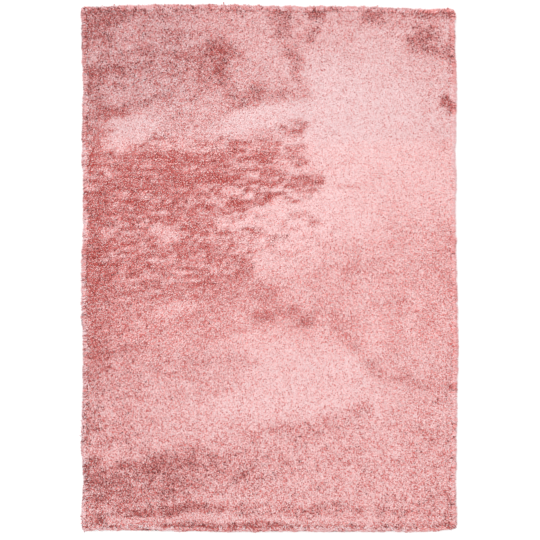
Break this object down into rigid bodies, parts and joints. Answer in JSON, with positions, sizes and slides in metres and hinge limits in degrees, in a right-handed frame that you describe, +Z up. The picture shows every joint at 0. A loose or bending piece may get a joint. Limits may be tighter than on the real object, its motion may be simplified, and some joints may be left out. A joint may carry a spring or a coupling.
{
  "type": "deep-pile shaggy rug",
  "caption": "Rectangular shaggy rug lying flat, with a deep soft pile that falls over a sewn edge binding and a flat woven underside.",
  "frame": {"origin": "on the floor under the middle of the rug's box", "axes": "+Z up, +Y along the long side towards the head end, +X across towards the right side"},
  "size_m": [1.2614, 1.7602, 0.0289],
  "materials": {
    "pile": "soft dusty-pink polyester shag, brushed in patches",
    "binding": "overlocked dusty-pink polyester thread",
    "backing": "natural woven backing with rows of pink tuft stitches, the underside of pile_cloth"
  },
  "bodies": {
    "root": {"pile_cloth": "pile", "binding_foot": "binding", "binding_right": "binding", "binding_head": "binding", "binding_left": "binding"}
  },
  "joints": []
}
